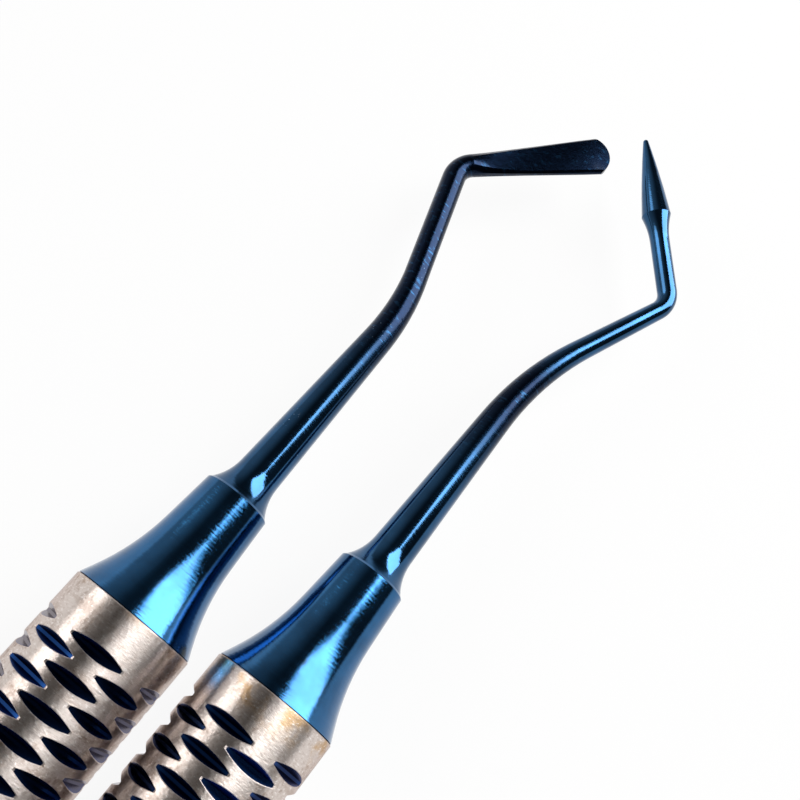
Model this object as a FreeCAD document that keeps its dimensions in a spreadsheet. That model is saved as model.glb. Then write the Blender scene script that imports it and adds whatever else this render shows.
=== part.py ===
import FreeCAD, Part
import math
import os
import re
import Sketcher
from FreeCAD import Placement, Rotation, Vector

# A matched pair of double-ended dental filling instruments, laid side by side head to tail.
# Each has a grooved handle tube, a bell-shaped ferrule pressed into each end of it, and two tips
# with bent shanks: a flat paddle and a cone-shaped point. Millimetres, +Z up. The origin lies on
# the surface that the handles rest on, midway between them and midway along them.
#
# The pieces of one end are drawn in that end's own frame: X runs along the handle's axis from
# the joint of tube and ferrule out to the tip, Y to its left seen from above, Z up.

doc = FreeCAD.newDocument("filling_instruments")

# ---------------------------------------------------------------- driving sizes

SIZES = [
    # handle tube
    ("handle_dia", 9.5, "outside of the handle tube"),
    ("handle_length", 72.0, "length of the tube between its two ferrules"),
    ("handle_wall", 1.25, "wall of the tube"),
    ("handle_edge", 0.12, "edge break at each end of the tube"),
    # milled grooves, in rings that are turned half a space from each other
    ("groove_pitch", 1.11, "spacing of the rings of grooves along the handle"),
    ("groove_rings", 14.0, "rings of grooves at each end"),
    ("grooves_per_ring", 5.0, "grooves in one ring"),
    ("groove_depth", 0.48, "depth at the middle of a groove"),
    ("groove_floor", 0.2, "width of a groove's flat floor"),
    ("groove_flank", 39, "angle between a groove's wall and its middle plane"),
    ("groove_first", 3.08, "first ring's distance from the tube's end"),
    ("groove_start", -5.75, "angle of the first ring's uppermost groove from the top"),
    ("handle_roll", 11.25, "turn of each handle about its own axis"),
    # ferrule
    ("ferrule_length", 10.42, "tube's end to the ferrule's top"),
    ("ferrule_step", 0.05, "set-back of the bell mouth from the outside of the tube"),
    ("ferrule_base_slope", 24.5, "half angle of the bell mouth"),
    ("ferrule_waist", 16.0, "radius of the hollow curve between mouth and top"),
    ("ferrule_top_dia", 5.23, "top of the ferrule, over its chamfered rim"),
    ("ferrule_top_slope", 4.2, "half angle of the upper cone"),
    ("ferrule_rim", 0.16, "chamfer of the top rim"),
    ("spigot_length", 8.0, "length of the spigot in the tube's bore"),
    ("spigot_chamfer", 0.5, "lead-in of the spigot and the tang"),
    ("press_gap", 0.01, "radial gap of the pressed joints"),
    # shank, common to both tips
    ("tang_dia", 3.0, "tang in the ferrule's bore"),
    ("tang_length", 14.0, "length of the tang below the ferrule's top"),
    ("root_dia", 4.88, "shank's foot on the ferrule's top"),
    ("root_flare", 4.0, "radius of the hollow flare above the foot"),
    ("shank_slope", 1.9, "half angle of the straight shank's taper"),
    # paddle tip
    ("paddle_bend_at", 29.45, "joint to the first bend's corner"),
    ("paddle_bend_one", 18.5, "first bend, to the left"),
    ("paddle_bend_two", -61.0, "second bend, back to the right"),
    ("paddle_sweep_one", 20.0, "radius of the first bend"),
    ("paddle_sweep_two", 1.9, "radius of the second bend"),
    ("paddle_leg", 13.9, "first corner to second corner"),
    ("paddle_reach", 13.05, "second corner to the paddle's end"),
    ("paddle_shank_dia", 2.4, "shank where the first bend begins"),
    ("paddle_bow_dia", 1.95, "shank after the first bend"),
    ("paddle_wire_dia", 1.9, "shank before the second bend"),
    ("paddle_neck_dia", 1.86, "shank after the second bend"),
    ("paddle_root_at", 3.2, "second corner to the root of the flat"),
    ("paddle_root_width", 2.05, "width at the root of the flat"),
    ("paddle_root_thick", 1.0, "thickness at the root of the flat"),
    ("paddle_mid_at", 7.0, "second corner to the middle of the flat"),
    ("paddle_mid_width", 2.6, "width at the middle of the flat"),
    ("paddle_mid_thick", 0.64, "thickness at the middle of the flat"),
    ("paddle_width", 3.36, "widest part of the paddle"),
    ("paddle_thick", 0.5, "thickness at the paddle's end"),
    ("paddle_bevel", 0.29, "bevel of the paddle's edges, as a share of its thickness"),
    ("paddle_end", 1.8, "radius of the paddle's round end"),
    # point tip
    ("point_bend_at", 30.0, "joint to the first bend's corner"),
    ("point_bend_one", -22.5, "first bend, to the right"),
    ("point_bend_two", 62.8, "second bend, back to the left"),
    ("point_sweep_one", 24.0, "radius of the first bend"),
    ("point_sweep_two", 1.9, "radius of the second bend"),
    ("point_leg", 13.45, "first corner to second corner"),
    ("point_reach", 15.27, "second corner to the point"),
    ("point_shank_dia", 2.36, "shank where the first bend begins"),
    ("point_bow_dia", 1.72, "shank after the first bend"),
    ("point_wire_dia", 1.5, "shank before the second bend"),
    ("point_neck_dia", 1.58, "neck below the point's shoulder"),
    ("point_shoulder_dia", 2.36, "shoulder, the cone's widest part"),
    ("point_cone", 7.27, "length of the cone from its shoulder"),
    ("point_flare", 2.3, "length of the hollow flare under the shoulder"),
    ("point_belly", 90.0, "radius of the cone's slightly rounded side"),
    ("point_nose", 0.22, "radius of the rounded nose"),
    # how the pair lies
    ("pair_gap", 1.2, "between the two handles"),
    ("pair_stagger", 1.75, "lead of the right handle over the left"),
]

sheet = doc.addObject("Spreadsheet::Sheet", "sizes")
for row, (alias, value, note) in enumerate(SIZES, start=1):
    sheet.set(f"A{row}", alias)
    sheet.set(f"B{row}", str(value))
    sheet.set(f"C{row}", note)
    sheet.setAlias(f"B{row}", alias)
doc.recompute()


ALIASES = {alias for alias, value, note in SIZES}


def of_sheet(formula):
    """A formula in the sheet's aliases, written as an expression of the document."""
    return re.sub(
        r"[a-z][a-z_]*",
        lambda word: f"sizes.{word.group()}" if word.group() in ALIASES else word.group(),
        formula,
    )


def amount(formula):
    """The present value of such a formula, as a plain number."""
    result = sheet.evalExpression(of_sheet(formula))
    return float(getattr(result, "Value", result))


# ---------------------------------------------------------------- sketch helpers

X_AXIS = -1
Y_AXIS = -2
ORIGIN = (-1, 1)
START, END, CENTRE = 1, 2, 3


def point(x, y):
    return Vector(x, y, 0.0)


def origin_feature(body, role):
    for feature in body.Origin.OriginFeatures:
        if feature.Role == role:
            return feature
    raise ValueError(f"{body.Name} has no {role}")


def new_sketch(body, name, role="XY_Plane"):
    sketch = body.newObject("Sketcher::SketchObject", f"{body.Name}_{name}")
    sketch.AttachmentSupport = [(origin_feature(body, role), "")]
    sketch.MapMode = "FlatFace"
    return sketch


def fix(sketch, kind, *places):
    sketch.addConstraint(Sketcher.Constraint(kind, *places))


def measure(sketch, kind, *places, formula):
    """Add a dimension to the sketch and bind it to a formula of the sheet."""
    value = amount(formula)
    if kind == "Angle":
        value = math.radians(value)
        formula = f"({formula}) * 1 deg"
    index = sketch.addConstraint(Sketcher.Constraint(kind, *places, value))
    sketch.setExpression(f"Constraints[{index}]", of_sheet(formula))


def chain(sketch, points, bulges, closed=True):
    """Join the points by lines, or by an arc through bulges[i] on edge i.

    Returns for each edge the numbers of its near and far ends, which differ because a sketch
    keeps every arc anticlockwise.
    """
    edges = len(points) if closed else len(points) - 1
    ends = []
    for i in range(edges):
        start = points[i]
        end = points[(i + 1) % len(points)]
        if i in bulges:
            sketch.addGeometry(Part.Arc(start, bulges[i], end), False)
        else:
            sketch.addGeometry(Part.LineSegment(start, end), False)
        forward = sketch.getPoint(i, START).distanceToPoint(start) < 1e-6
        ends.append((START, END) if forward else (END, START))
    return ends


def join(sketch, ends, smooth=(), closed=True):
    """Join each edge to the next, tangent where the next edge's number is in smooth."""
    for i in range(len(ends) if closed else len(ends) - 1):
        following = (i + 1) % len(ends)
        kind = "Tangent" if following in smooth else "Coincident"
        fix(sketch, kind, i, ends[i][1], following, ends[following][0])


def turned(radius, angle):
    """The point at a radius and an angle in degrees from the sketch's X."""
    return point(radius * math.cos(math.radians(angle)), radius * math.sin(math.radians(angle)))


def arc_between(start, corner, end, radius):
    """The ends and middle of the arc that rounds a corner between two straight runs."""
    back = (start - corner).normalize()
    forth = (end - corner).normalize()
    half = back.getAngle(forth) / 2
    run = radius / math.tan(half)
    middle = (back + forth).normalize() * (radius / math.sin(half) - radius)
    return corner + back * run, corner + middle, corner + forth * run


def arc_middle(start, end, radius, side):
    """The middle of an arc between two points, bulging to the left (side 1) or right (-1)."""
    along = end - start
    half = along.Length / 2
    rise = radius - math.sqrt(radius**2 - half**2)
    across = Vector(-along.y, along.x, 0.0).normalize()
    return (start + end) * 0.5 + across * rise * side


# ---------------------------------------------------------------- feature helpers


def new_body(name):
    return doc.addObject("PartDesign::Body", name)


def revolve(body, sketch, name):
    turned = body.newObject("PartDesign::Revolution", f"{body.Name}_{name}")
    turned.Profile = sketch
    turned.ReferenceAxis = (sketch, ["H_Axis"])
    turned.Angle = 360.0
    return turned


def leg_place(tip):
    """Formulas for the first bend's corner and the heading of the leg beyond it."""
    return f"{tip}_bend_at", "0.0", f"{tip}_bend_one"


def end_place(tip):
    """Formulas for the second bend's corner and the heading of the run beyond it."""
    x = f"{tip}_bend_at + {tip}_leg * cos({tip}_bend_one * 1 deg)"
    y = f"{tip}_leg * sin({tip}_bend_one * 1 deg)"
    heading = f"{tip}_bend_one + {tip}_bend_two"
    return x, y, heading


def bend_run(tip, bend):
    """Formula for the length that a bend takes of the straight runs, measured from its corner."""
    return f"{tip}_sweep_{bend} * tan(abs({tip}_bend_{bend}) / 2 * 1 deg)"


def put_along(sketch, place):
    """Lay an XY sketch along a run of the shank, its origin on the run's first corner."""
    x, y, heading = place
    sketch.AttachmentOffset = Placement(Vector(), Rotation(Vector(0, 0, 1), amount(heading)))
    sketch.setExpression("AttachmentOffset.Base.x", of_sheet(x))
    sketch.setExpression("AttachmentOffset.Base.y", of_sheet(y))
    sketch.setExpression("AttachmentOffset.Rotation.Angle", of_sheet(heading))


def put_across(sketch, place, distance):
    """Stand a YZ sketch across a run, at a distance from its first corner."""
    x, y, heading = place
    along = f"({distance}) * cos(({heading}) * 1 deg)"
    aside = f"({distance}) * sin(({heading}) * 1 deg)"
    sketch.AttachmentOffset = Placement(Vector(), Rotation(Vector(0, 1, 0), amount(heading)))
    sketch.setExpression("AttachmentOffset.Base.x", of_sheet(f"{y} + {aside}"))
    sketch.setExpression("AttachmentOffset.Base.z", of_sheet(f"{x} + {along}"))
    sketch.setExpression("AttachmentOffset.Rotation.Angle", of_sheet(heading))


# ---------------------------------------------------------------- handle tube

BORE_RADIUS = "handle_dia / 2 - handle_wall"


def handle_blank(name):
    """The plain tube, about the middle of its length."""
    body = new_body(name)
    sketch = new_sketch(body, "profile")
    half = amount("handle_length / 2")
    outer = amount("handle_dia / 2")
    bore = amount(BORE_RADIUS)
    edge = amount("handle_edge")
    points = [
        point(-half, bore),
        point(-half, outer - edge),
        point(-half + edge, outer),
        point(half - edge, outer),
        point(half, outer - edge),
        point(half, bore),
    ]
    ends = chain(sketch, points, {})
    join(sketch, ends)
    fix(sketch, "Vertical", 0)
    fix(sketch, "Horizontal", 2)
    fix(sketch, "Vertical", 4)
    fix(sketch, "Horizontal", 5)
    measure(sketch, "DistanceX", 0, START, *ORIGIN, formula="handle_length / 2")
    measure(sketch, "DistanceX", *ORIGIN, 4, END, formula="handle_length / 2")
    measure(sketch, "DistanceY", *ORIGIN, 0, START, formula=BORE_RADIUS)
    measure(sketch, "DistanceY", *ORIGIN, 2, START, formula="handle_dia / 2")
    for left, right in ((1, START), (1, END)), ((3, START), (3, END)):
        measure(sketch, "DistanceX", *left, *right, formula="handle_edge")
    measure(sketch, "DistanceY", 1, START, 1, END, formula="handle_edge")
    measure(sketch, "DistanceY", 3, END, 3, START, formula="handle_edge")
    revolve(body, sketch, "turning")
    return body


# How far a groove's cutter stands out of the handle, and past the ends of the groove.
CUTTER_RISE = 0.1
CUTTER_OVERRUN = 0.15


def groove_cutter():
    """The straight cutter of one groove, lying across the top of the handle."""
    outer = amount("handle_dia / 2")
    floor = outer - amount("groove_depth")
    top = outer + CUTTER_RISE
    half_floor = amount("groove_floor / 2")
    half_top = half_floor + (top - floor) * math.tan(math.radians(amount("groove_flank")))
    half_length = math.sqrt(outer**2 - floor**2) + CUTTER_OVERRUN
    section = Part.makePolygon(
        [
            Vector(-half_floor, -half_length, floor),
            Vector(half_floor, -half_length, floor),
            Vector(half_top, -half_length, top),
            Vector(-half_top, -half_length, top),
            Vector(-half_floor, -half_length, floor),
        ]
    )
    return Part.Face(section).extrude(Vector(0, 2 * half_length, 0))


def groove_cutters():
    """Every groove of a handle: rings from the front end, and the same ones turned end for end."""
    cutter = groove_cutter()
    per_ring = round(amount("grooves_per_ring"))
    space = 360.0 / per_ring
    far_end = Placement(Vector(), Rotation(Vector(0, 0, 1), 180.0))
    cutters = []
    for ring in range(round(amount("groove_rings"))):
        from_end = amount("groove_first") + ring * amount("groove_pitch")
        place = Vector(amount("handle_length / 2") - from_end, 0, 0)
        first = amount("groove_start") + ring % 2 * space / 2
        for i in range(per_ring):
            about_axis = Placement(place, Rotation(Vector(1, 0, 0), first + i * space))
            for end in Placement(), far_end:
                groove = cutter.copy()
                groove.Placement = end.multiply(about_axis)
                cutters.append(groove)
    return Part.makeCompound(cutters)


def handle_tube(name):
    cutters = doc.addObject("Part::Feature", f"{name}_cutters")
    cutters.Shape = groove_cutters()
    tube = doc.addObject("Part::Cut", name)
    tube.Base = handle_blank(f"{name}_blank")
    tube.Tool = cutters
    return tube


# ---------------------------------------------------------------- ferrule


def ferrule(name):
    """Bell mouth on the tube's end, spigot in its bore, bored through for the tip's tang."""
    body = new_body(name)
    sketch = new_sketch(body, "profile")
    length = amount("ferrule_length")
    spigot = amount("spigot_length")
    chamfer = amount("spigot_chamfer")
    bore = amount("tang_dia / 2 + press_gap")
    fit = amount(f"{BORE_RADIUS} - press_gap")
    mouth = amount("handle_dia / 2 - ferrule_step")
    top = amount("ferrule_top_dia / 2")
    rim = amount("ferrule_rim")
    steep = math.tan(math.radians(amount("ferrule_base_slope")))
    shallow = math.tan(math.radians(amount("ferrule_top_slope")))
    meet = (mouth - top - shallow * (length - rim)) / (steep - shallow)
    waist_in, waist_mid, waist_out = arc_between(
        point(0, mouth),
        point(meet, mouth - steep * meet),
        point(length - rim, top),
        amount("ferrule_waist"),
    )
    points = [
        point(-spigot, bore),
        point(-spigot, fit - chamfer),
        point(-spigot + chamfer, fit),
        point(0, fit),
        point(0, mouth),
        waist_in,
        waist_out,
        point(length - rim, top),
        point(length, top - rim),
        point(length, bore),
    ]
    waist_edge = 5
    ends = chain(sketch, points, {waist_edge: waist_mid})
    join(sketch, ends, smooth=(waist_edge, waist_edge + 1))
    for edge in 0, 3, 8:
        fix(sketch, "Vertical", edge)
    for edge in 2, 9:
        fix(sketch, "Horizontal", edge)
    measure(sketch, "DistanceX", 0, START, *ORIGIN, formula="spigot_length")
    measure(sketch, "DistanceY", *ORIGIN, 0, START, formula="tang_dia / 2 + press_gap")
    measure(sketch, "DistanceX", 1, START, 1, END, formula="spigot_chamfer")
    measure(sketch, "DistanceY", 1, START, 1, END, formula="spigot_chamfer")
    measure(sketch, "DistanceY", *ORIGIN, 2, START, formula=f"{BORE_RADIUS} - press_gap")
    fix(sketch, "PointOnObject", 3, START, Y_AXIS)
    measure(sketch, "DistanceY", *ORIGIN, 4, START, formula="handle_dia / 2 - ferrule_step")
    measure(sketch, "Angle", 4, formula="-ferrule_base_slope")
    measure(sketch, "Radius", waist_edge, formula="ferrule_waist")
    measure(sketch, "Angle", 6, formula="-ferrule_top_slope")
    measure(sketch, "DistanceY", *ORIGIN, 6, END, formula="ferrule_top_dia / 2")
    measure(sketch, "DistanceX", 7, START, 7, END, formula="ferrule_rim")
    measure(sketch, "DistanceY", 7, END, 7, START, formula="ferrule_rim")
    measure(sketch, "DistanceX", *ORIGIN, 8, START, formula="ferrule_length")
    revolve(body, sketch, "turning")
    return body


# ---------------------------------------------------------------- shanks


def straight_end(tip):
    """Formula for the place where the first bend begins."""
    return f"{tip}_bend_at - {bend_run(tip, 'one')}"


def straight_shank(body, tip):
    """Tang, foot and tapered straight run, turned in one piece."""
    sketch = new_sketch(body, "straight")
    foot = amount("ferrule_length")
    back = amount("ferrule_length - tang_length")
    tang = amount("tang_dia / 2")
    chamfer = amount("spigot_chamfer")
    flare = amount("root_flare")
    far = amount(straight_end(tip))
    thin = amount(f"{tip}_shank_dia / 2")
    taper = math.radians(amount("shank_slope"))
    root = amount("root_dia / 2")
    # The flare's centre stands off the taper line by its radius, and as far from the foot.
    lean = math.tan(taper)
    above = thin + (far - foot) * lean + flare / math.cos(taper) - root
    under_root = (above * lean) ** 2 - (1 + lean**2) * (above**2 - flare**2)
    out = (above * lean + math.sqrt(under_root)) / (1 + lean**2)
    centre = point(foot + out, root + above - out * lean)
    touch = centre - point(math.sin(taper), math.cos(taper)) * flare
    points = [
        point(back, 0),
        point(back, tang - chamfer),
        point(back + chamfer, tang),
        point(foot, tang),
        point(foot, root),
        touch,
        point(far, thin),
        point(far, 0),
    ]
    flare_edge = 4
    middle = arc_middle(points[4], touch, flare, -1)
    ends = chain(sketch, points, {flare_edge: middle})
    join(sketch, ends, smooth=(flare_edge + 1,))
    for edge in 0, 3, 6:
        fix(sketch, "Vertical", edge)
    fix(sketch, "Horizontal", 2)
    fix(sketch, "PointOnObject", 0, START, X_AXIS)
    fix(sketch, "PointOnObject", 6, END, X_AXIS)
    measure(sketch, "DistanceX", 0, START, 3, START, formula="tang_length")
    measure(sketch, "DistanceX", 1, START, 1, END, formula="spigot_chamfer")
    measure(sketch, "DistanceY", 1, START, 1, END, formula="spigot_chamfer")
    measure(sketch, "DistanceY", *ORIGIN, 2, START, formula="tang_dia / 2")
    measure(sketch, "DistanceX", *ORIGIN, 3, START, formula="ferrule_length")
    measure(sketch, "DistanceY", *ORIGIN, 3, END, formula="root_dia / 2")
    measure(sketch, "Radius", flare_edge, formula="root_flare")
    measure(sketch, "Angle", 5, formula="-shank_slope")
    measure(sketch, "DistanceX", *ORIGIN, 5, END, formula=straight_end(tip))
    measure(sketch, "DistanceY", *ORIGIN, 5, END, formula=f"{tip}_shank_dia / 2")
    revolve(body, sketch, "straight_turning")


def shank_spine(body, tip):
    """The centre line of the first bend, the leg and the second bend."""
    sketch = new_sketch(body, "spine")
    x, y, heading = end_place(tip)
    start = point(amount(straight_end(tip)), 0)
    corner_one = point(amount(f"{tip}_bend_at"), 0)
    corner_two = point(amount(x), amount(y))
    course = math.radians(amount(heading))
    away = point(math.cos(course), math.sin(course))
    sweep = amount(f"{tip}_sweep_two")
    beyond = corner_two + away * (sweep + amount(bend_run(tip, "two")))
    one = arc_between(start, corner_one, corner_two, amount(f"{tip}_sweep_one"))
    two = arc_between(corner_one, corner_two, beyond, sweep)
    points = [one[0], one[2], two[0], two[2], beyond]
    ends = chain(sketch, points, {0: one[1], 2: two[1]}, closed=False)
    join(sketch, ends, smooth=(1, 2, 3), closed=False)
    lead_out = 3
    sketch.setConstruction(lead_out, True)
    lead_in = sketch.addGeometry(Part.LineSegment(point(0, 0), start), True)
    fix(sketch, "Coincident", lead_in, START, *ORIGIN)
    fix(sketch, "PointOnObject", lead_in, END, X_AXIS)
    fix(sketch, "Tangent", lead_in, END, 0, ends[0][0])
    measure(sketch, "DistanceX", *ORIGIN, lead_in, END, formula=straight_end(tip))
    measure(sketch, "Radius", 0, formula=f"{tip}_sweep_one")
    measure(sketch, "Angle", 1, formula=f"{tip}_bend_one")
    measure(sketch, "Distance", 1, formula=f"{tip}_leg - {bend_run(tip, 'one')} - {bend_run(tip, 'two')}")
    measure(sketch, "Radius", 2, formula=f"{tip}_sweep_two")
    measure(sketch, "Angle", lead_out, formula=heading)
    measure(sketch, "Distance", lead_out, formula=f"{tip}_sweep_two")
    return sketch


def ring_on_spine(body, spine, name, edge, along, formula):
    """A circle square to the spine, at one end of one of its edges."""
    sketch = body.newObject("Sketcher::SketchObject", f"{body.Name}_{name}")
    sketch.AttachmentSupport = [(spine, edge)]
    sketch.MapMode = "NormalToEdge"
    sketch.MapPathParameter = along
    sketch.addGeometry(Part.Circle(Vector(), Vector(0, 0, 1), amount(formula)), False)
    fix(sketch, "Coincident", 0, CENTRE, *ORIGIN)
    measure(sketch, "Radius", 0, formula=formula)
    return sketch


def bend(body, spine, name, edge, first, last):
    """A round bend along one edge of the spine, thinning from one diameter to another."""
    begins = ring_on_spine(body, spine, f"{name}_start", edge, 0.0, f"{first} / 2")
    ends = ring_on_spine(body, spine, f"{name}_end", edge, 1.0, f"{last} / 2")
    doc.recompute()
    pipe = body.newObject("PartDesign::AdditivePipe", f"{body.Name}_{name}")
    pipe.Profile = begins
    pipe.Spine = (spine, [edge])
    pipe.Transformation = "Multisection"
    pipe.Sections = [(ends, [""])]


def leg(body, tip):
    """The straight leg between the bends, a slight cone."""
    sketch = new_sketch(body, "leg_profile")
    put_along(sketch, leg_place(tip))
    near = bend_run(tip, "one")
    far = f"{tip}_leg - {bend_run(tip, 'two')}"
    wide = f"{tip}_bow_dia / 2"
    thin = f"{tip}_wire_dia / 2"
    points = [
        point(amount(near), 0),
        point(amount(near), amount(wide)),
        point(amount(far), amount(thin)),
        point(amount(far), 0),
    ]
    ends = chain(sketch, points, {})
    join(sketch, ends)
    fix(sketch, "Vertical", 0)
    fix(sketch, "Vertical", 2)
    fix(sketch, "PointOnObject", 0, START, X_AXIS)
    fix(sketch, "PointOnObject", 2, END, X_AXIS)
    measure(sketch, "DistanceX", *ORIGIN, 0, START, formula=near)
    measure(sketch, "DistanceX", *ORIGIN, 2, END, formula=far)
    measure(sketch, "DistanceY", *ORIGIN, 0, END, formula=wide)
    measure(sketch, "DistanceY", *ORIGIN, 2, START, formula=thin)
    revolve(body, sketch, "leg")


def bent_shank(body, tip):
    """The round wire through both bends, thinning on the way."""
    spine = shank_spine(body, tip)
    doc.recompute()
    bend(body, spine, "bend_one", "Edge1", f"{tip}_shank_dia", f"{tip}_bow_dia")
    leg(body, tip)
    bend(body, spine, "bend_two", "Edge3", f"{tip}_wire_dia", f"{tip}_neck_dia")


# ---------------------------------------------------------------- paddle tip


def flat_section(body, name, distance, width, thick):
    """A flat section with bevelled edges, across the last run."""
    sketch = new_sketch(body, name, "YZ_Plane")
    put_across(sketch, end_place("paddle"), distance)
    wide = amount(width) / 2
    high = amount(thick) / 2
    bevel = amount(f"{thick} * paddle_bevel")
    points = [
        point(-wide + bevel, -high),
        point(wide - bevel, -high),
        point(wide, -high + bevel),
        point(wide, high - bevel),
        point(wide - bevel, high),
        point(-wide + bevel, high),
        point(-wide, high - bevel),
        point(-wide, -high + bevel),
    ]
    ends = chain(sketch, points, {})
    join(sketch, ends)
    for edge, axis in (0, Y_AXIS), (4, Y_AXIS), (2, X_AXIS), (6, X_AXIS):
        fix(sketch, "Symmetric", edge, START, edge, END, axis)
    fix(sketch, "Symmetric", 0, START, 4, START, *ORIGIN)
    fix(sketch, "Symmetric", 2, START, 6, START, *ORIGIN)
    measure(sketch, "DistanceY", 0, START, 4, START, formula=thick)
    measure(sketch, "DistanceX", 6, START, 2, START, formula=width)
    measure(sketch, "DistanceX", 0, END, 2, START, formula=f"{thick} * paddle_bevel")
    measure(sketch, "DistanceY", 0, END, 2, START, formula=f"{thick} * paddle_bevel")
    return sketch


def round_section(body, name, distance, dia):
    """A round section across the last run, in as many arcs as a flat section has edges."""
    sketch = new_sketch(body, name, "YZ_Plane")
    put_across(sketch, end_place("paddle"), distance)
    radius = amount(f"{dia} / 2")
    arcs = 8
    turn = 360 / arcs
    points = [turned(radius, turn * (i - 2.5)) for i in range(arcs)]
    middles = {i: turned(radius, turn * (i - 2)) for i in range(arcs)}
    ends = chain(sketch, points, middles)
    join(sketch, ends)
    last = arcs - 1
    for edge in range(last):
        fix(sketch, "Coincident", edge, CENTRE, *ORIGIN)
    fix(sketch, "Equal", 0, last)
    measure(sketch, "Radius", 0, formula=f"{dia} / 2")
    near_axis = f"{dia} / 2 * sin({turn / 2} * 1 deg)"
    for edge, corner in enumerate(points):
        upright = abs(corner.x) < abs(corner.y)
        forward = (corner.x if upright else corner.y) > 0
        reach = (*ORIGIN, edge, START) if forward else (edge, START, *ORIGIN)
        measure(sketch, "DistanceX" if upright else "DistanceY", *reach, formula=near_axis)
    return sketch


# The paddle is drawn this much past its round end, which is then cut.
PADDLE_OVERRUN = 0.3


def paddle_flat(body):
    """The flattened run, from the round shank's end out to past its own."""
    sections = [
        round_section(body, "flat_heel", bend_run("paddle", "two"), "paddle_neck_dia"),
        flat_section(
            body, "flat_root", "paddle_root_at", "paddle_root_width", "paddle_root_thick"
        ),
        flat_section(
            body, "flat_middle", "paddle_mid_at", "paddle_mid_width", "paddle_mid_thick"
        ),
        flat_section(
            body, "flat_end", f"paddle_reach + {PADDLE_OVERRUN}", "paddle_width", "paddle_thick"
        ),
    ]
    doc.recompute()
    loft = body.newObject("PartDesign::AdditiveLoft", f"{body.Name}_flat")
    loft.Profile = sections[0]
    loft.Sections = [(section, [""]) for section in sections[1:]]
    loft.Ruled = False
    return loft


def paddle_end(body):
    """Round the paddle's end off in plan."""
    sketch = new_sketch(body, "end_outline")
    put_along(sketch, end_place("paddle"))
    radius = amount("paddle_end")
    centre = amount("paddle_reach") - radius
    beyond = amount("paddle_reach") + 3 * PADDLE_OVERRUN
    wide = amount("paddle_width")
    points = [
        point(centre, -wide),
        point(beyond, -wide),
        point(beyond, wide),
        point(centre, wide),
        point(centre, radius),
        point(centre, -radius),
    ]
    round_edge = 4
    ends = chain(sketch, points, {round_edge: point(centre + radius, 0)})
    join(sketch, ends)
    for edge in 1, 3, 5:
        fix(sketch, "Vertical", edge)
    for edge in 0, 2:
        fix(sketch, "Horizontal", edge)
    fix(sketch, "PointOnObject", round_edge, CENTRE, X_AXIS)
    for end in ends[round_edge]:
        fix(sketch, "Vertical", round_edge, CENTRE, round_edge, end)
    measure(sketch, "Radius", round_edge, formula="paddle_end")
    centre_at = "paddle_reach - paddle_end"
    measure(sketch, "DistanceX", *ORIGIN, round_edge, CENTRE, formula=centre_at)
    measure(sketch, "DistanceX", *ORIGIN, 1, START, formula=f"paddle_reach + {3 * PADDLE_OVERRUN}")
    measure(sketch, "DistanceY", 0, START, *ORIGIN, formula="paddle_width")
    measure(sketch, "DistanceY", *ORIGIN, 2, START, formula="paddle_width")
    pocket = body.newObject("PartDesign::Pocket", f"{body.Name}_end")
    pocket.Profile = sketch
    pocket.Type = "ThroughAll"
    pocket.SideType = "Symmetric"
    return pocket


def paddle_tip(name):
    body = new_body(name)
    straight_shank(body, "paddle")
    bent_shank(body, "paddle")
    loft = paddle_flat(body)
    doc.recompute()
    before = loft.Shape.Volume
    pocket = paddle_end(body)
    doc.recompute()
    if not pocket.Shape.Volume < before:
        raise ValueError(f"{name}: the paddle's end was not cut")
    return body


# ---------------------------------------------------------------- point tip


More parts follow.
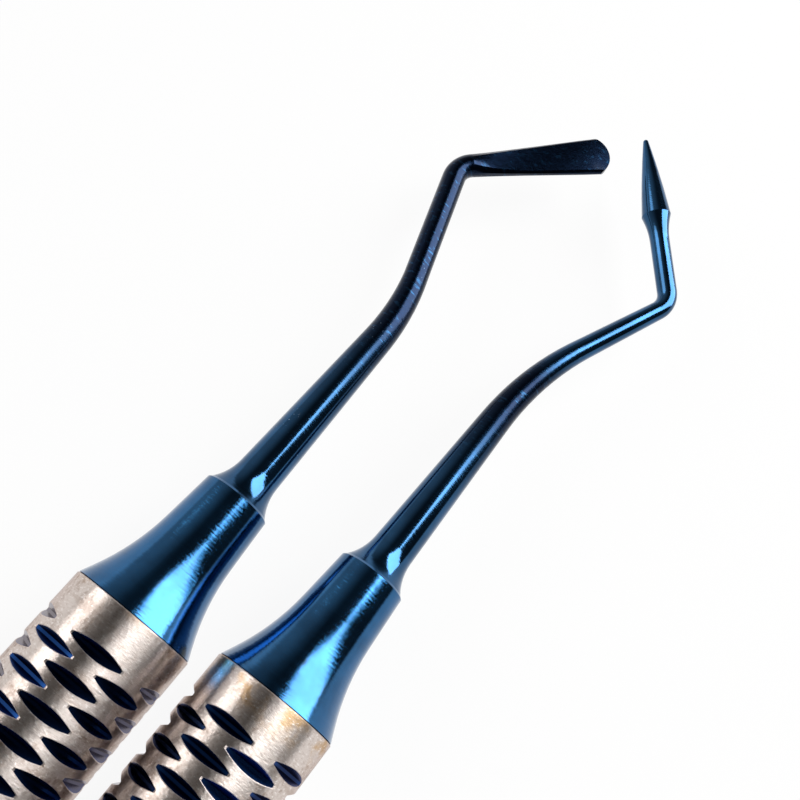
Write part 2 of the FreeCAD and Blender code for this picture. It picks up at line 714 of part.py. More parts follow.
def point_end(body):
    """Round neck, hollow flare, shoulder and slightly rounded cone, turned about the last run."""
    sketch = new_sketch(body, "end_profile")
    put_along(sketch, end_place("point"))
    begins = bend_run("point", "two")
    flare_starts = "point_reach - point_cone - point_flare"
    neck = amount("point_neck_dia / 2")
    shoulder = amount("point_shoulder_dia / 2")
    nose = amount("point_nose")
    tip = amount("point_reach")
    flare = amount("point_flare")
    rise = shoulder - neck
    flare_radius = (flare**2 + rise**2) / (2 * rise)
    start = point(amount(flare_starts), neck)
    edge_of_cone = point(start.x + flare, shoulder)
    lean = math.atan2(shoulder - nose, amount("point_cone") - nose)
    nose_in = point(tip - nose, 0) + point(math.sin(lean), math.cos(lean)) * nose
    turn = (math.pi / 2 - lean) / 2
    nose_mid = point(tip - nose, 0) + point(math.cos(turn), math.sin(turn)) * nose
    points = [
        point(amount(begins), 0),
        point(amount(begins), neck),
        start,
        edge_of_cone,
        nose_in,
        point(tip, 0),
    ]
    neck_edge, flare_edge, side_edge, nose_edge = 1, 2, 3, 4
    bulges = {
        flare_edge: arc_middle(start, edge_of_cone, flare_radius, -1),
        side_edge: arc_middle(edge_of_cone, nose_in, amount("point_belly"), 1),
        nose_edge: nose_mid,
    }
    ends = chain(sketch, points, bulges)
    join(sketch, ends, smooth=(flare_edge, nose_edge))
    fix(sketch, "Vertical", 0)
    fix(sketch, "Horizontal", neck_edge)
    fix(sketch, "PointOnObject", 0, START, X_AXIS)
    fix(sketch, "PointOnObject", nose_edge, CENTRE, X_AXIS)
    fix(sketch, "PointOnObject", nose_edge, ends[nose_edge][1], X_AXIS)
    measure(sketch, "DistanceX", *ORIGIN, 0, START, formula=begins)
    measure(sketch, "DistanceY", *ORIGIN, 0, END, formula="point_neck_dia / 2")
    measure(sketch, "DistanceX", *ORIGIN, neck_edge, END, formula=flare_starts)
    shoulder_end = (flare_edge, ends[flare_edge][1])
    measure(sketch, "DistanceX", *ORIGIN, *shoulder_end, formula="point_reach - point_cone")
    measure(sketch, "DistanceY", *ORIGIN, *shoulder_end, formula="point_shoulder_dia / 2")
    measure(sketch, "Radius", side_edge, formula="point_belly")
    measure(sketch, "Radius", nose_edge, formula="point_nose")
    measure(sketch, "DistanceX", *ORIGIN, nose_edge, CENTRE, formula="point_reach - point_nose")
    revolve(body, sketch, "end")


def point_tip(name):
    body = new_body(name)
    straight_shank(body, "point")
    bent_shank(body, "point")
    point_end(body)
    return body


# ---------------------------------------------------------------- the pair


def instrument(side, side_sign, front_tip, rear_tip):
    """One instrument. The left one leads with its paddle, the right one with its point."""
    stagger = f"{-side_sign} * pair_stagger / 2"
    aside = f"{side_sign} * (handle_dia + pair_gap) / 2"
    half = "handle_length / 2"
    tube = handle_tube(f"{side}_handle_tube")
    place = [
        (tube, f"{stagger}", 0.0),
        (ferrule(f"{side}_front_ferrule"), f"{stagger} + {half}", 0.0),
        (ferrule(f"{side}_rear_ferrule"), f"{stagger} - {half}", 180.0),
        (TIPS[front_tip](f"{side}_{front_tip}_tip"), f"{stagger} + {half}", 0.0),
        (TIPS[rear_tip](f"{side}_{rear_tip}_tip"), f"{stagger} - {half}", 180.0),
    ]
    for piece, along, heading in place:
        piece.Placement = Placement(Vector(), Rotation(Vector(0, 0, 1), heading))
        piece.setExpression("Placement.Base.x", of_sheet(along))
        piece.setExpression("Placement.Base.y", of_sheet(aside))
        piece.setExpression("Placement.Base.z", of_sheet("handle_dia / 2"))
    heading = 90.0 - 90.0 * side_sign
    roll = Rotation(Vector(1, 0, 0), amount("handle_roll"))
    tube.Placement.Rotation = Rotation(Vector(0, 0, 1), heading).multiply(roll)
    return [piece for piece, along, heading in place]


TIPS = {"paddle": paddle_tip, "point": point_tip}

pieces = instrument("left", 1, "paddle", "point") + instrument("right", -1, "point", "paddle")
doc.recompute()

for thing in doc.Objects:
    if "Invalid" in thing.State or "Error" in thing.State:
        raise ValueError(f"{thing.Name} failed: {thing.State}")
for thing in doc.findObjects("Sketcher::SketchObject"):
    if not thing.FullyConstrained:
        raise ValueError(f"{thing.Name} is not fully constrained")
for piece in pieces:
    if piece.Shape.isNull() or not piece.Shape.isValid() or len(piece.Shape.Solids) != 1:
        raise ValueError(f"{piece.Label} is not one valid solid")

os.makedirs("parts", exist_ok=True)
for piece in pieces:
    piece.Shape.exportStep(f"parts/{piece.Label}.step")
    box = piece.Shape.optimalBoundingBox(True)
    print(f"{piece.Label}: {piece.Shape.Volume:.2f} mm3, {len(piece.Shape.Faces)} faces, "
          f"x {box.XMin:.2f} to {box.XMax:.2f}, y {box.YMin:.2f} to {box.YMax:.2f}")
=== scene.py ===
import math

import bpy
from mathutils import Matrix, Vector


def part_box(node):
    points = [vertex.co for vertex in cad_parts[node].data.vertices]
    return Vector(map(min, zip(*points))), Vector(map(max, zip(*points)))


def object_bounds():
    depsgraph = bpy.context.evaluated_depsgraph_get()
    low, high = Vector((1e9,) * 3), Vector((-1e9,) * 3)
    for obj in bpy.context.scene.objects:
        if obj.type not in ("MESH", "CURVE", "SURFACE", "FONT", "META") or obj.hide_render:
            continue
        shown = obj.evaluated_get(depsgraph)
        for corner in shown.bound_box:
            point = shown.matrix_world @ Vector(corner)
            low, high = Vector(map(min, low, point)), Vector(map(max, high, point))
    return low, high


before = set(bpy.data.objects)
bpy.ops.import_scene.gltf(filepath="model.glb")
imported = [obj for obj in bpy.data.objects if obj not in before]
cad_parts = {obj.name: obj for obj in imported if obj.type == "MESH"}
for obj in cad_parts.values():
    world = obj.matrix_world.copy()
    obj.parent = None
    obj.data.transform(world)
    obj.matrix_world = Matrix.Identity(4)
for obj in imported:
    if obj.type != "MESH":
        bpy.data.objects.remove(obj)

bl_info = {
    "name": "Filling instruments",
    "version": (1, 0, 0),
    "blender": (4, 5, 0),
    "location": "View3D > Sidebar > Instruments",
    "description": "Finishes and studio for a pair of double-ended dental filling instruments",
    "category": "Object",
}

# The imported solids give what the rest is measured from: the handles' axes, which lie at equal
# distances either side of y = 0, their height and their radius. JOINT is how far from x = 0 a
# handle meets its ferrule, as the mean of the two instruments, which are staggered a little.
CAD_LOW, CAD_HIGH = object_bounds()
TUBE_LOW, TUBE_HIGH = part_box("left_handle_tube")
AXIS_ASIDE = (TUBE_LOW.y + TUBE_HIGH.y) / 2
AXIS_HEIGHT = (TUBE_LOW.z + TUBE_HIGH.z) / 2
TUBE_RADIUS = (TUBE_HIGH.z - TUBE_LOW.z) / 2
JOINT = (TUBE_HIGH.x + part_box("right_handle_tube")[1].x) / 2

HANDLES = ("left_handle_tube", "right_handle_tube")
FERRULES = ("left_front_ferrule", "left_rear_ferrule", "right_front_ferrule", "right_rear_ferrule")
PADDLES = ("left_paddle_tip", "right_paddle_tip")
POINTS = ("left_point_tip", "right_point_tip")

# Cells of each noise pattern in a metre.
STEEL_CLOUDS = 420.0
STEEL_BLOTCHES = 2600.0
STEEL_GRAINS = 7500.0
COATING_CLOUDS = 260.0
COATING_DASHES = 4200.0

# Distances past the joint, in metres, over which the tips' coating turns rougher and takes a
# painted shade, and half the length over which it turns glossy and plain again.
DULL_AND_SHADE_BEGINS = 0.015
DULL_AND_SHADE_FULL = 0.028
DULL_AND_SHADE_FADE = 0.003

# How high the marks stand in the bump, in metres.
BUMP_DEPTH = 0.00003


# ---------------------------------------------------------------- sizes and colours


def colour(name, description, default):
    return bpy.props.FloatVectorProperty(
        name=name, description=description, default=default, subtype="COLOR", size=3, min=0, max=1
    )


def share(name, description, default):
    return bpy.props.FloatProperty(
        name=name, description=description, default=default, subtype="FACTOR", min=0, max=1
    )


def length(name, description, default):
    return bpy.props.FloatProperty(
        name=name, description=description, default=default, subtype="DISTANCE",
        unit="LENGTH", precision=5, min=0,
    )


class HandleLook(bpy.types.PropertyGroup):
    steel: colour("Steel", "Turned stainless steel", (0.7, 0.625, 0.58))
    stain: colour("Stain", "Darker, warmer patches of the steel", (0.40, 0.305, 0.25))
    spark: colour("Spark", "Fresh scuffs that catch the light", (0.98, 0.93, 0.9))
    heat: colour("Heat tint", "Straw tint beside the joint with the ferrule", (0.62, 0.40, 0.19))
    heat_width: length("Heat tint's width", "How far the tint reaches from the joint", 0.0016)
    groove: colour("Groove", "Blue coating left in the grooves", (0.010, 0.043, 0.16))
    roughness: share("Roughness", "Roughness of the turned steel", 0.36)
    groove_roughness: share("Groove's roughness", "Roughness of the coating there", 0.2)
    mark: length("Turning mark", "Spacing of the turning marks", 0.00012)
    coat_edge: length("Coating's edge", "Depth below the surface where the coating begins", 0.00004)


class CoatingLook(bpy.types.PropertyGroup):
    ferrule: colour("Ferrule coating", "Blue hard coating of the ferrules", (0.026, 0.118, 0.27))
    tip: colour("Tip coating", "Darker blue hard coating of the tips", (0.023, 0.094, 0.21))
    # This colour is painted shade: a darker coating laid where the shanks and paddles show less of
    # the softbox.
    dulled_and_shaded: colour("Dulled coating", "Coating that handling has dulled", (0.005, 0.012, 0.031))
    speck: colour("Speck", "Specks of dust on the coating", (0.22, 0.32, 0.45))
    speck_spacing: length("Specks' spacing", "Spacing of the specks of dust", 0.00022)
    roughness: share("Roughness", "Roughness of the coating", 0.095)
    clear: share("Clear layer", "Weight of the clear layer over the coating", 0.2)
    mark: length("Turning mark", "Spacing of the turning marks under the coating", 0.00014)


class StageLook(bpy.types.PropertyGroup):
    floor: colour("Floor", "Plain pale floor", (0.86, 0.86, 0.86))
    floor_glow: share(
        "Floor's own white", "Share of plain white in the floor, as the camera and metal see it", 0.92
    )
    key: bpy.props.FloatProperty(
        name="Softbox", description="Power of the softbox", default=6.1, subtype="POWER", min=0
    )
    away: length("Softbox's distance", "From the joints to the softbox", 0.6)
    fill: bpy.props.FloatProperty(
        name="Room", description="Brightness of the room's pale side", default=0.5, min=0
    )
    lens: bpy.props.FloatProperty(
        name="Lens", description="Focal length of the camera", default=45.0, unit="CAMERA", min=1
    )


# ---------------------------------------------------------------- node helpers


def put(tree, kind, values=None, **settings):
    """Add a node. A value that is a socket is linked, any other is set."""
    node = tree.nodes.new(kind)
    for key, setting in settings.items():
        setattr(node, key, setting)
    for key, value in (values or {}).items():
        if isinstance(value, bpy.types.NodeSocket):
            tree.links.new(value, node.inputs[key])
        else:
            node.inputs[key].default_value = value
    return node


def sums(tree, operation, *values):
    node = put(tree, "ShaderNodeMath", dict(enumerate(values)), operation=operation)
    return node.outputs[0]


def times(tree, first, second):
    return sums(tree, "MULTIPLY", first, second)


def plus(tree, first, second):
    return sums(tree, "ADD", first, second)


def weigh(tree, first, second, share_of_second):
    """The mean of two values, the second weighed by its share."""
    return plus(
        tree, times(tree, first, 1 - share_of_second), times(tree, second, share_of_second)
    )


def ramp(tree, value, low, high, to_low=0.0, to_high=1.0, shape="SMOOTHSTEP"):
    """The value moved from one range to another and held inside it."""
    node = put(
        tree,
        "ShaderNodeMapRange",
        {"Value": value, "From Min": low, "From Max": high, "To Min": to_low, "To Max": to_high},
        interpolation_type=shape,
    )
    return node.outputs["Result"]


def colour_socket(sockets, label):
    """The colour socket of this name. A Mix node has one of the name for each kind of data."""
    return next(each for each in sockets if each.name == label and each.type == "RGBA")


def blend(tree, factor, first, second):
    """A colour between two others."""
    node = put(tree, "ShaderNodeMix", {"Factor": factor}, data_type="RGBA", clamp_factor=True)
    for label, value in ("A", first), ("B", second):
        target = colour_socket(node.inputs, label)
        if isinstance(value, bpy.types.NodeSocket):
            tree.links.new(value, target)
        else:
            target.default_value = (*value, 1.0)
    return colour_socket(node.outputs, "Result")


def noise(tree, vector, scale, detail=2.0, roughness=0.5):
    node = put(
        tree,
        "ShaderNodeTexNoise",
        {"Vector": vector, "Scale": scale, "Detail": detail, "Roughness": roughness},
    )
    return node.outputs["Fac"]


def stretch(tree, vector, by):
    """A place multiplied axis by axis. A pattern is drawn out along an axis that gets less than 1."""
    node = put(tree, "ShaderNodeVectorMath", {0: vector, 1: by}, operation="MULTIPLY")
    return node.outputs[0]


def new_group(name, takes, gives):
    """An empty node group, its sockets made from (name, kind, default)."""
    group = bpy.data.node_groups.new(name, "ShaderNodeTree")
    for label, kind, default in takes:
        socket = group.interface.new_socket(label, in_out="INPUT", socket_type=kind)
        if default is not None:
            socket.default_value = default
    for label, kind in gives:
        group.interface.new_socket(label, in_out="OUTPUT", socket_type=kind)
    start = group.nodes.new("NodeGroupInput")
    end = group.nodes.new("NodeGroupOutput")
    return group, start.outputs, end.inputs


def use(tree, group, **values):
    """Place a group, its inputs named with underscores for spaces."""
    named = {key.replace("_", " "): value for key, value in values.items()}
    return put(tree, "ShaderNodeGroup", named, node_tree=group).outputs


FLOAT = "NodeSocketFloat"
VECTOR = "NodeSocketVector"


def axis_group():
    """Where a point is round and along the axis of the instrument it belongs to."""
    group, given, result = new_group(
        "Instrument axis",
        [("Place", VECTOR, None), ("Aside", FLOAT, 0.005), ("Height", FLOAT, 0.005)],
        [("Radius", FLOAT), ("Unrolled", VECTOR)],
    )
    parts = put(group, "ShaderNodeSeparateXYZ", {0: given["Place"]}).outputs
    across = sums(group, "SUBTRACT", sums(group, "ABSOLUTE", parts["Y"]), given["Aside"])
    up = sums(group, "SUBTRACT", parts["Z"], given["Height"])
    square = plus(group, times(group, across, across), times(group, up, up))
    radius = sums(group, "SQRT", square)
    girth = times(group, sums(group, "ARCTAN2", across, up), radius)
    side = sums(group, "SIGN", parts["Y"])
    unrolled = put(group, "ShaderNodeCombineXYZ", {"X": parts["X"], "Y": girth, "Z": side})
    group.links.new(radius, result["Radius"])
    group.links.new(unrolled.outputs[0], result["Unrolled"])
    return group


def turning_group():
    """Fine rings left by turning: a height for bump and a mask of the broad ones."""
    group, given, result = new_group(
        "Turning marks",
        [("Unrolled", VECTOR, None), ("Spacing", FLOAT, 0.0001), ("Run", FLOAT, 0.04)],
        [("Height", FLOAT), ("Broad", FLOAT)],
    )
    per_metre = sums(group, "DIVIDE", 1.0, given["Spacing"])
    drawn_out = put(group, "ShaderNodeCombineXYZ", {"X": 1.0, "Y": given["Run"], "Z": 0.001})
    rings = stretch(group, given["Unrolled"], drawn_out.outputs[0])
    fine = noise(group, rings, per_metre, detail=3.0, roughness=0.7)
    broad = noise(group, rings, times(group, per_metre, 0.17))
    group.links.new(weigh(group, fine, broad, 0.12), result["Height"])
    group.links.new(ramp(group, broad, 0.55, 0.72), result["Broad"])
    return group


def speck_group():
    """Scattered specks of dust, gathered in patches."""
    group, given, result = new_group(
        "Specks",
        [("Place", VECTOR, None), ("Size", FLOAT, 0.0002), ("Amount", FLOAT, 0.5)],
        [("Mask", FLOAT)],
    )
    per_metre = sums(group, "DIVIDE", 1.0, given["Size"])
    cells = put(
        group, "ShaderNodeTexVoronoi", {"Vector": given["Place"], "Scale": per_metre}
    ).outputs["Distance"]
    patches = noise(group, given["Place"], times(group, per_metre, 0.05))
    grain = noise(group, given["Place"], times(group, per_metre, 0.9), detail=1.0)
    here = ramp(group, patches, sums(group, "SUBTRACT", 0.8, given["Amount"]), 0.8)
    dot = ramp(group, cells, 0.12, 0.26, 1.0, 0.0)
    some = ramp(group, grain, 0.52, 0.6)
    group.links.new(times(group, times(group, dot, some), here), result["Mask"])
    return group


def shared(name, build):
    """A group by name, built the first time it is asked for."""
    return bpy.data.node_groups.get(name) or build()


def surface(tree, place, look, run):
    """The two groups that every finish places: the instrument's axis and the turning marks."""
    axis = use(
        tree,
        shared("Instrument axis", axis_group),
        Place=place,
        Aside=AXIS_ASIDE,
        Height=AXIS_HEIGHT,
    )
    turning = use(
        tree,
        shared("Turning marks", turning_group),
        Unrolled=axis["Unrolled"],
        Spacing=look.mark,
        Run=run,
    )
    return axis, turning


def from_middle(tree, place):
    """How far a point is along x from the middle of the pair."""
    return sums(tree, "ABSOLUTE", put(tree, "ShaderNodeSeparateXYZ", {0: place}).outputs["X"])


def raise_marks(tree, shader, height, strength):
    """Show a height as bump."""
    values = {"Height": height, "Strength": strength, "Distance": BUMP_DEPTH}
    bump = put(tree, "ShaderNodeBump", values)
    tree.links.new(bump.outputs["Normal"], shader.inputs["Normal"])


def new_material(name):
    """A material with its shader, and the point being shaded as x, y and z in metres."""
    material = bpy.data.materials.new(name)
    material.use_nodes = True
    tree = material.node_tree
    tree.nodes.clear()
    shader = put(tree, "ShaderNodeBsdfPrincipled")
    put(tree, "ShaderNodeOutputMaterial", {"Surface": shader.outputs[0]})
    place = put(tree, "ShaderNodeTexCoord").outputs["Object"]
    return material, tree, shader, place


def dress(names, material):
    """Give CAD nodes one finish in place of the one they came with."""
    for name in names:
        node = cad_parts.get(name)
        if node is None:
            raise RuntimeError(f"the packed model has no node named {name}")
        node.data.materials.clear()
        node.data.materials.append(material)


# ---------------------------------------------------------------- finishes


def steel_finish(look):
    """Turned satin steel with stains and heat tint, and blue coating down in the grooves."""
    material, tree, shader, place = new_material("Turned steel with coated grooves")
    axis, turning = surface(tree, place, look, run=0.22)
    cloud = noise(tree, axis["Unrolled"], STEEL_CLOUDS, detail=3.0, roughness=0.6)
    blotch = noise(tree, axis["Unrolled"], STEEL_BLOTCHES, detail=3.0, roughness=0.65)
    patches = weigh(tree, cloud, blotch, 0.4)
    drawn_out = stretch(tree, axis["Unrolled"], (1.0, 0.4, 1.0))
    grain = noise(tree, drawn_out, STEEL_GRAINS, roughness=0.6)

    stained = blend(tree, ramp(tree, patches, 0.5, 0.68), look.steel, look.stain)
    from_joint = sums(tree, "SUBTRACT", JOINT, from_middle(tree, place))
    near_joint = ramp(tree, from_joint, 0.0, look.heat_width, 1.0, 0.0)
    warm = times(tree, near_joint, ramp(tree, cloud, 0.46, 0.62))
    tinted = blend(tree, times(tree, warm, 0.75), stained, look.heat)
    ringed = blend(tree, times(tree, turning["Broad"], 0.35), tinted, look.stain)
    scuffed = blend(tree, ramp(tree, grain, 0.3, 0.46, 0.4, 0.0), ringed, look.stain)
    bright = blend(tree, ramp(tree, grain, 0.56, 0.72, 0.0, 0.8), scuffed, look.spark)

    coat_begins = TUBE_RADIUS - look.coat_edge
    coat_whole = TUBE_RADIUS - 2 * look.coat_edge
    # Painted shade: the coating in the grooves is painted darker towards their bottoms.
    groove_shade_deepest = TUBE_RADIUS - 9 * look.coat_edge
    coated = ramp(tree, axis["Radius"], coat_whole, coat_begins, 1.0, 0.0)
    bare = sums(tree, "SUBTRACT", 1.0, coated)
    shadowed = ramp(tree, axis["Radius"], groove_shade_deepest, coat_begins, 1.0, 0.0)
    groove_shade = tuple(part * 0.45 for part in look.groove)
    groove = blend(tree, shadowed, look.groove, groove_shade)
    tree.links.new(blend(tree, coated, bright, groove), shader.inputs["Base Color"])

    smoother, rougher = look.roughness - 0.07, look.roughness + 0.1
    uneven = ramp(tree, patches, 0.35, 0.7, smoother, rougher, "LINEAR")
    rough = plus(tree, times(tree, uneven, bare), times(tree, coated, look.groove_roughness))
    tree.links.new(rough, shader.inputs["Roughness"])
    shader.inputs["Metallic"].default_value = 1.0
    shader.inputs["Specular Tint"].default_value = (0.76, 0.7, 0.68, 1.0)

    # With this rotation the highlight is drawn out along the handle.
    shader.inputs["Anisotropic"].default_value = 0.92
    shader.inputs["Anisotropic Rotation"].default_value = 0.25
    tangent = put(tree, "ShaderNodeTangent", direction_type="RADIAL", axis="X").outputs[0]
    tree.links.new(tangent, shader.inputs["Tangent"])

    # The height is centred on its mean, so that it makes no step where it stops at a groove.
    grain_height = 0.8
    mean_height = 0.5 * (1 + grain_height)
    marks = plus(tree, turning["Height"], times(tree, grain, grain_height))
    centred = sums(tree, "SUBTRACT", marks, mean_height)
    raise_marks(tree, shader, times(tree, centred, bare), 0.6)
    return material


def coating_finish(name, look, base, relief, dust, dull_and_shade_until=0.0):
    """Glossy blue coating over turning marks, with dust, rougher and painted in shade up to a
    distance past the joint.
    """
    material, tree, shader, place = new_material(name)
    axis, turning = surface(tree, place, look, run=0.12)
    specks = use(
        tree, shared("Specks", speck_group), Place=place, Size=look.speck_spacing, Amount=dust
    )["Mask"]
    # Painted shade: past the joint the coating is painted darker, and it also turns rougher with a
    # thinner clear layer.
    past_joint = sums(tree, "SUBTRACT", from_middle(tree, place), JOINT)
    starts = ramp(tree, past_joint, DULL_AND_SHADE_BEGINS, DULL_AND_SHADE_FULL)
    ends = ramp(tree, past_joint, dull_and_shade_until - DULL_AND_SHADE_FADE, dull_and_shade_until + DULL_AND_SHADE_FADE, 1.0, 0.0)
    dull_and_shade = times(tree, starts, ends)

    cloud = noise(tree, place, COATING_CLOUDS, detail=3.0, roughness=0.6)
    deep = tuple(part * 0.72 for part in base)
    clouded = blend(tree, ramp(tree, cloud, 0.38, 0.64), base, deep)
    dashes = stretch(tree, axis["Unrolled"], (1.0, 0.22, 1.0))
    worn = ramp(tree, noise(tree, dashes, COATING_DASHES, roughness=0.6), 0.56, 0.7)
    # The painted shade, broken by worn dashes of the deeper coating colour.
    shade_with_worn_dashes = blend(tree, times(tree, worn, 0.6), look.dulled_and_shaded, deep)
    toned = blend(tree, dull_and_shade, clouded, shade_with_worn_dashes)
    tree.links.new(blend(tree, specks, toned, look.speck), shader.inputs["Base Color"])

    smoother, rougher = look.roughness - 0.03, look.roughness + 0.06
    uneven = ramp(tree, turning["Height"], 0.3, 0.7, smoother, rougher, "LINEAR")
    blunt = plus(tree, uneven, times(tree, dull_and_shade, 0.12))
    rough = plus(tree, blunt, times(tree, specks, 0.3))
    tree.links.new(rough, shader.inputs["Roughness"])
    shader.inputs["Metallic"].default_value = 1.0
    clear = ramp(tree, plus(tree, dull_and_shade, specks), 0.0, 1.0, look.clear, 0.1)
    tree.links.new(clear, shader.inputs["Coat Weight"])
    shader.inputs["Coat Roughness"].default_value = look.roughness
    marks = plus(tree, turning["Height"], times(tree, specks, 1.5))
    raise_marks(tree, shader, marks, relief)
    return material


# ---------------------------------------------------------------- operators


class OBJECT_OT_instrument_handles(bpy.types.Operator):
    """Finish the two handle tubes in turned steel, with blue coating in their grooves"""

    bl_idname = "object.instrument_handles"
    bl_label = "Finish the handles"

    def execute(self, context):
        dress(HANDLES, steel_finish(context.scene.handle_look))
        return {"FINISHED"}


class OBJECT_OT_instrument_ferrules(bpy.types.Operator):
    """Finish the four ferrules in glossy blue coating over turning marks"""

    bl_idname = "object.instrument_ferrules"
    bl_label = "Finish the ferrules"

    def execute(self, context):
        look = context.scene.coating_look
        ferrule = coating_finish("Blue coated ferrule", look, look.ferrule, relief=0.5, dust=0.1)
        dress(FERRULES, ferrule)
        return {"FINISHED"}


class OBJECT_OT_instrument_tips(bpy.types.Operator):
    """Finish the four tips in dark blue coating, rougher and painted in shade along the shanks and
    over the paddles
    """

    bl_idname = "object.instrument_tips"
    bl_label = "Finish the tips"

    def execute(self, context):
        look = context.scene.coating_look
        paddle = coating_finish(
            "Blue coated paddle tip", look, look.tip, relief=0.2, dust=0.22, dull_and_shade_until=0.1
        )
        point = coating_finish(
            "Blue coated point tip", look, look.tip, relief=0.2, dust=0.14, dull_and_shade_until=0.033
        )
        dress(PADDLES, paddle)
        dress(POINTS, point)
        return {"FINISHED"}


class OBJECT_OT_instrument_stage(bpy.types.Operator):
    """Set the floor, the softbox, the room and the camera"""

    bl_idname = "object.instrument_stage"
    bl_label = "Set the stage"

    def execute(self, context):
        look = context.scene.stage_look
        pale_floor(look)
        softbox(look)
        room(look)
        close_camera(look)
        context.scene.view_settings.view_transform = "Standard"
        return {"FINISHED"}


def pale_floor(look):
    """A flat floor just below the handles, partly plain white to the camera and to metal."""
    half = 1.5
    gap = 0.00002
    mesh = bpy.data.meshes.new("floor")
    corners = [(-half, -half, 0), (half, -half, 0), (half, half, 0), (-half, half, 0)]
    mesh.from_pydata(corners, [], [(0, 1, 2, 3)])
    floor = bpy.data.objects.new("floor", mesh)
    floor.location.z = CAD_LOW.z - gap
    bpy.context.scene.collection.objects.link(floor)
    material = bpy.data.materials.new("Pale floor")
    material.use_nodes = True
    tree = material.node_tree
    tree.nodes.clear()
    lit = put(tree, "ShaderNodeBsdfDiffuse", {"Color": (*look.floor, 1.0)}).outputs[0]
    white = put(tree, "ShaderNodeEmission", {"Color": (1, 1, 1, 1), "Strength": 1.0}).outputs[0]
    rays = put(tree, "ShaderNodeLightPath").outputs
    mirrored = sums(tree, "MAXIMUM", rays["Is Glossy Ray"], rays["Is Transmission Ray"])
    seen = sums(tree, "MAXIMUM", rays["Is Camera Ray"], mirrored)
    factor = times(tree, seen, look.floor_glow)
    mixed = put(tree, "ShaderNodeMixShader", {0: factor, 1: lit, 2: white}).outputs[0]
    put(tree, "ShaderNodeOutputMaterial", {"Surface": mixed})
    mesh.materials.append(material)


def softbox(look):
    """One tall softbox above and beyond the tips, which the coating shows as its highlight."""
    facing = Vector((0.64, -0.36, 0.679)).normalized()
    level = Vector((0, 0, 1)).cross(facing).normalized()
    lean = math.radians(-17)
    across = Matrix.Rotation(lean, 3, facing) @ level
    up = facing.cross(across)
    # Width, height and shifts are for a softbox one metre away, and grow with its distance.
    width, height = 0.62, 1.04
    shift_across, shift_up = -0.02, -0.215
    light = bpy.data.lights.new("softbox", "AREA")
    light.shape = "RECTANGLE"
    light.size = width * look.away
    light.size_y = height * look.away
    light.energy = look.key
    lamp = bpy.data.objects.new("softbox", light)
    centre = (facing + shift_across * across + shift_up * up) * look.away
    place = Vector((JOINT, 0, AXIS_HEIGHT)) + centre
    turn = Matrix((across, up, facing)).transposed()
    lamp.matrix_world = Matrix.Translation(place) @ turn.to_4x4()
    bpy.context.scene.collection.objects.link(lamp)


def toward(tree, way, direction, begins, full):
    """A mask that grows from 0 to 1 as a direction turns towards another."""
    facing = put(
        tree,
        "ShaderNodeVectorMath",
        {0: way, 1: tuple(Vector(direction).normalized())},
        operation="DOT_PRODUCT",
    ).outputs["Value"]
    return ramp(tree, facing, begins, full)


def world_light(tree, tone, strength):
    """Light of one colour from the world."""
    return put(tree, "ShaderNodeBackground", {"Color": tone, "Strength": strength}).outputs[0]


def room(look):
    """A dark room with a pale left side and a window in it.

    To the camera it is plain white. Its lowest part, the backdrop, is white to metal too.
    """
    darkness = 0.05
    left = (0.0, 1.0, 0.0)
    window_way = (-0.13, 0.83, 0.52)
    window_light = 3.6
    backdrop_fades, backdrop_ends = 0.08, 0.2
    world = bpy.data.worlds.new("Room")
    world.use_nodes = True
    tree = world.node_tree
    tree.nodes.clear()
    way = put(tree, "ShaderNodeTexCoord").outputs["Generated"]
    pale = times(tree, toward(tree, way, left, 0.2, 1.0), look.fill)
    window = times(tree, toward(tree, way, window_way, 0.948, 0.98), window_light)
    level = plus(tree, plus(tree, pale, window), darkness)
    dim = world_light(tree, (1.0, 0.97, 0.95, 1), level)
    white = world_light(tree, (1, 1, 1, 1), 1.0)
    rays = put(tree, "ShaderNodeLightPath").outputs
    rise = put(tree, "ShaderNodeSeparateXYZ", {0: way}).outputs["Z"]
    backdrop = ramp(tree, rise, backdrop_fades, backdrop_ends, 1.0, 0.0)
    mirrored = sums(tree, "MAXIMUM", rays["Is Glossy Ray"], rays["Is Transmission Ray"])
    seen = sums(tree, "MAXIMUM", rays["Is Camera Ray"], times(tree, mirrored, backdrop))
    mixed = put(tree, "ShaderNodeMixShader", {0: seen, 1: dim, 2: white}).outputs[0]
    put(tree, "ShaderNodeOutputWorld", {"Surface": mixed})
    bpy.context.scene.world = world


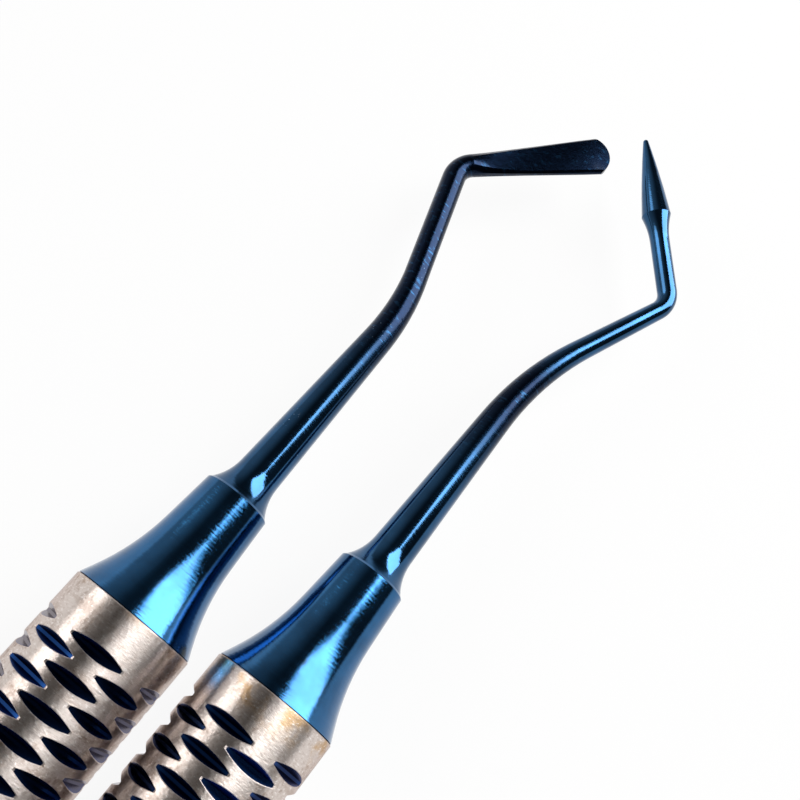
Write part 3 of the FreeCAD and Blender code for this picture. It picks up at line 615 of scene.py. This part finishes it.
def close_camera(look):
    """A camera close above the joints, looking down and out towards the tips."""
    from_joints = Vector((-0.002465, -0.005638, 0.06932))
    data = bpy.data.cameras.new("close camera")
    data.lens = look.lens
    data.sensor_width = 36.0
    data.clip_start = 0.001
    camera = bpy.data.objects.new("close camera", data)
    ahead = Vector((0.3408, 0.0910, -0.9357)).normalized()
    right = Vector((0.6060, -0.7823, 0.1446))
    right = (right - ahead * right.dot(ahead)).normalized()
    up = right.cross(ahead)
    turn = Matrix((right, up, -ahead)).transposed()
    place = Vector((JOINT, 0, AXIS_HEIGHT)) + from_joints
    camera.matrix_world = Matrix.Translation(place) @ turn.to_4x4()
    bpy.context.scene.collection.objects.link(camera)
    bpy.context.scene.camera = camera


# ---------------------------------------------------------------- panel and run


class VIEW3D_PT_instruments(bpy.types.Panel):
    """Lists the finishes and the stage"""

    bl_label = "Filling instruments"
    bl_space_type = "VIEW_3D"
    bl_region_type = "UI"
    bl_category = "Instruments"

    def draw(self, context):
        for look in context.scene.handle_look, context.scene.coating_look, context.scene.stage_look:
            box = self.layout.box()
            for name in look.bl_rna.properties.keys():
                if name not in {"rna_type", "name"}:
                    box.prop(look, name)
        for operator in OPERATORS:
            self.layout.operator(operator.bl_idname)


LOOKS = (HandleLook, CoatingLook, StageLook)
OPERATORS = (
    OBJECT_OT_instrument_handles,
    OBJECT_OT_instrument_ferrules,
    OBJECT_OT_instrument_tips,
    OBJECT_OT_instrument_stage,
)


def register():
    for group in (*LOOKS, *OPERATORS, VIEW3D_PT_instruments):
        bpy.utils.register_class(group)
    bpy.types.Scene.handle_look = bpy.props.PointerProperty(type=HandleLook)
    bpy.types.Scene.coating_look = bpy.props.PointerProperty(type=CoatingLook)
    bpy.types.Scene.stage_look = bpy.props.PointerProperty(type=StageLook)


def unregister():
    del bpy.types.Scene.stage_look
    del bpy.types.Scene.coating_look
    del bpy.types.Scene.handle_look
    for group in reversed((*LOOKS, *OPERATORS, VIEW3D_PT_instruments)):
        bpy.utils.unregister_class(group)


def main():
    register()
    bpy.ops.object.instrument_handles()
    bpy.ops.object.instrument_ferrules()
    bpy.ops.object.instrument_tips()
    bpy.ops.object.instrument_stage()


if __name__ == "__main__":
    main()
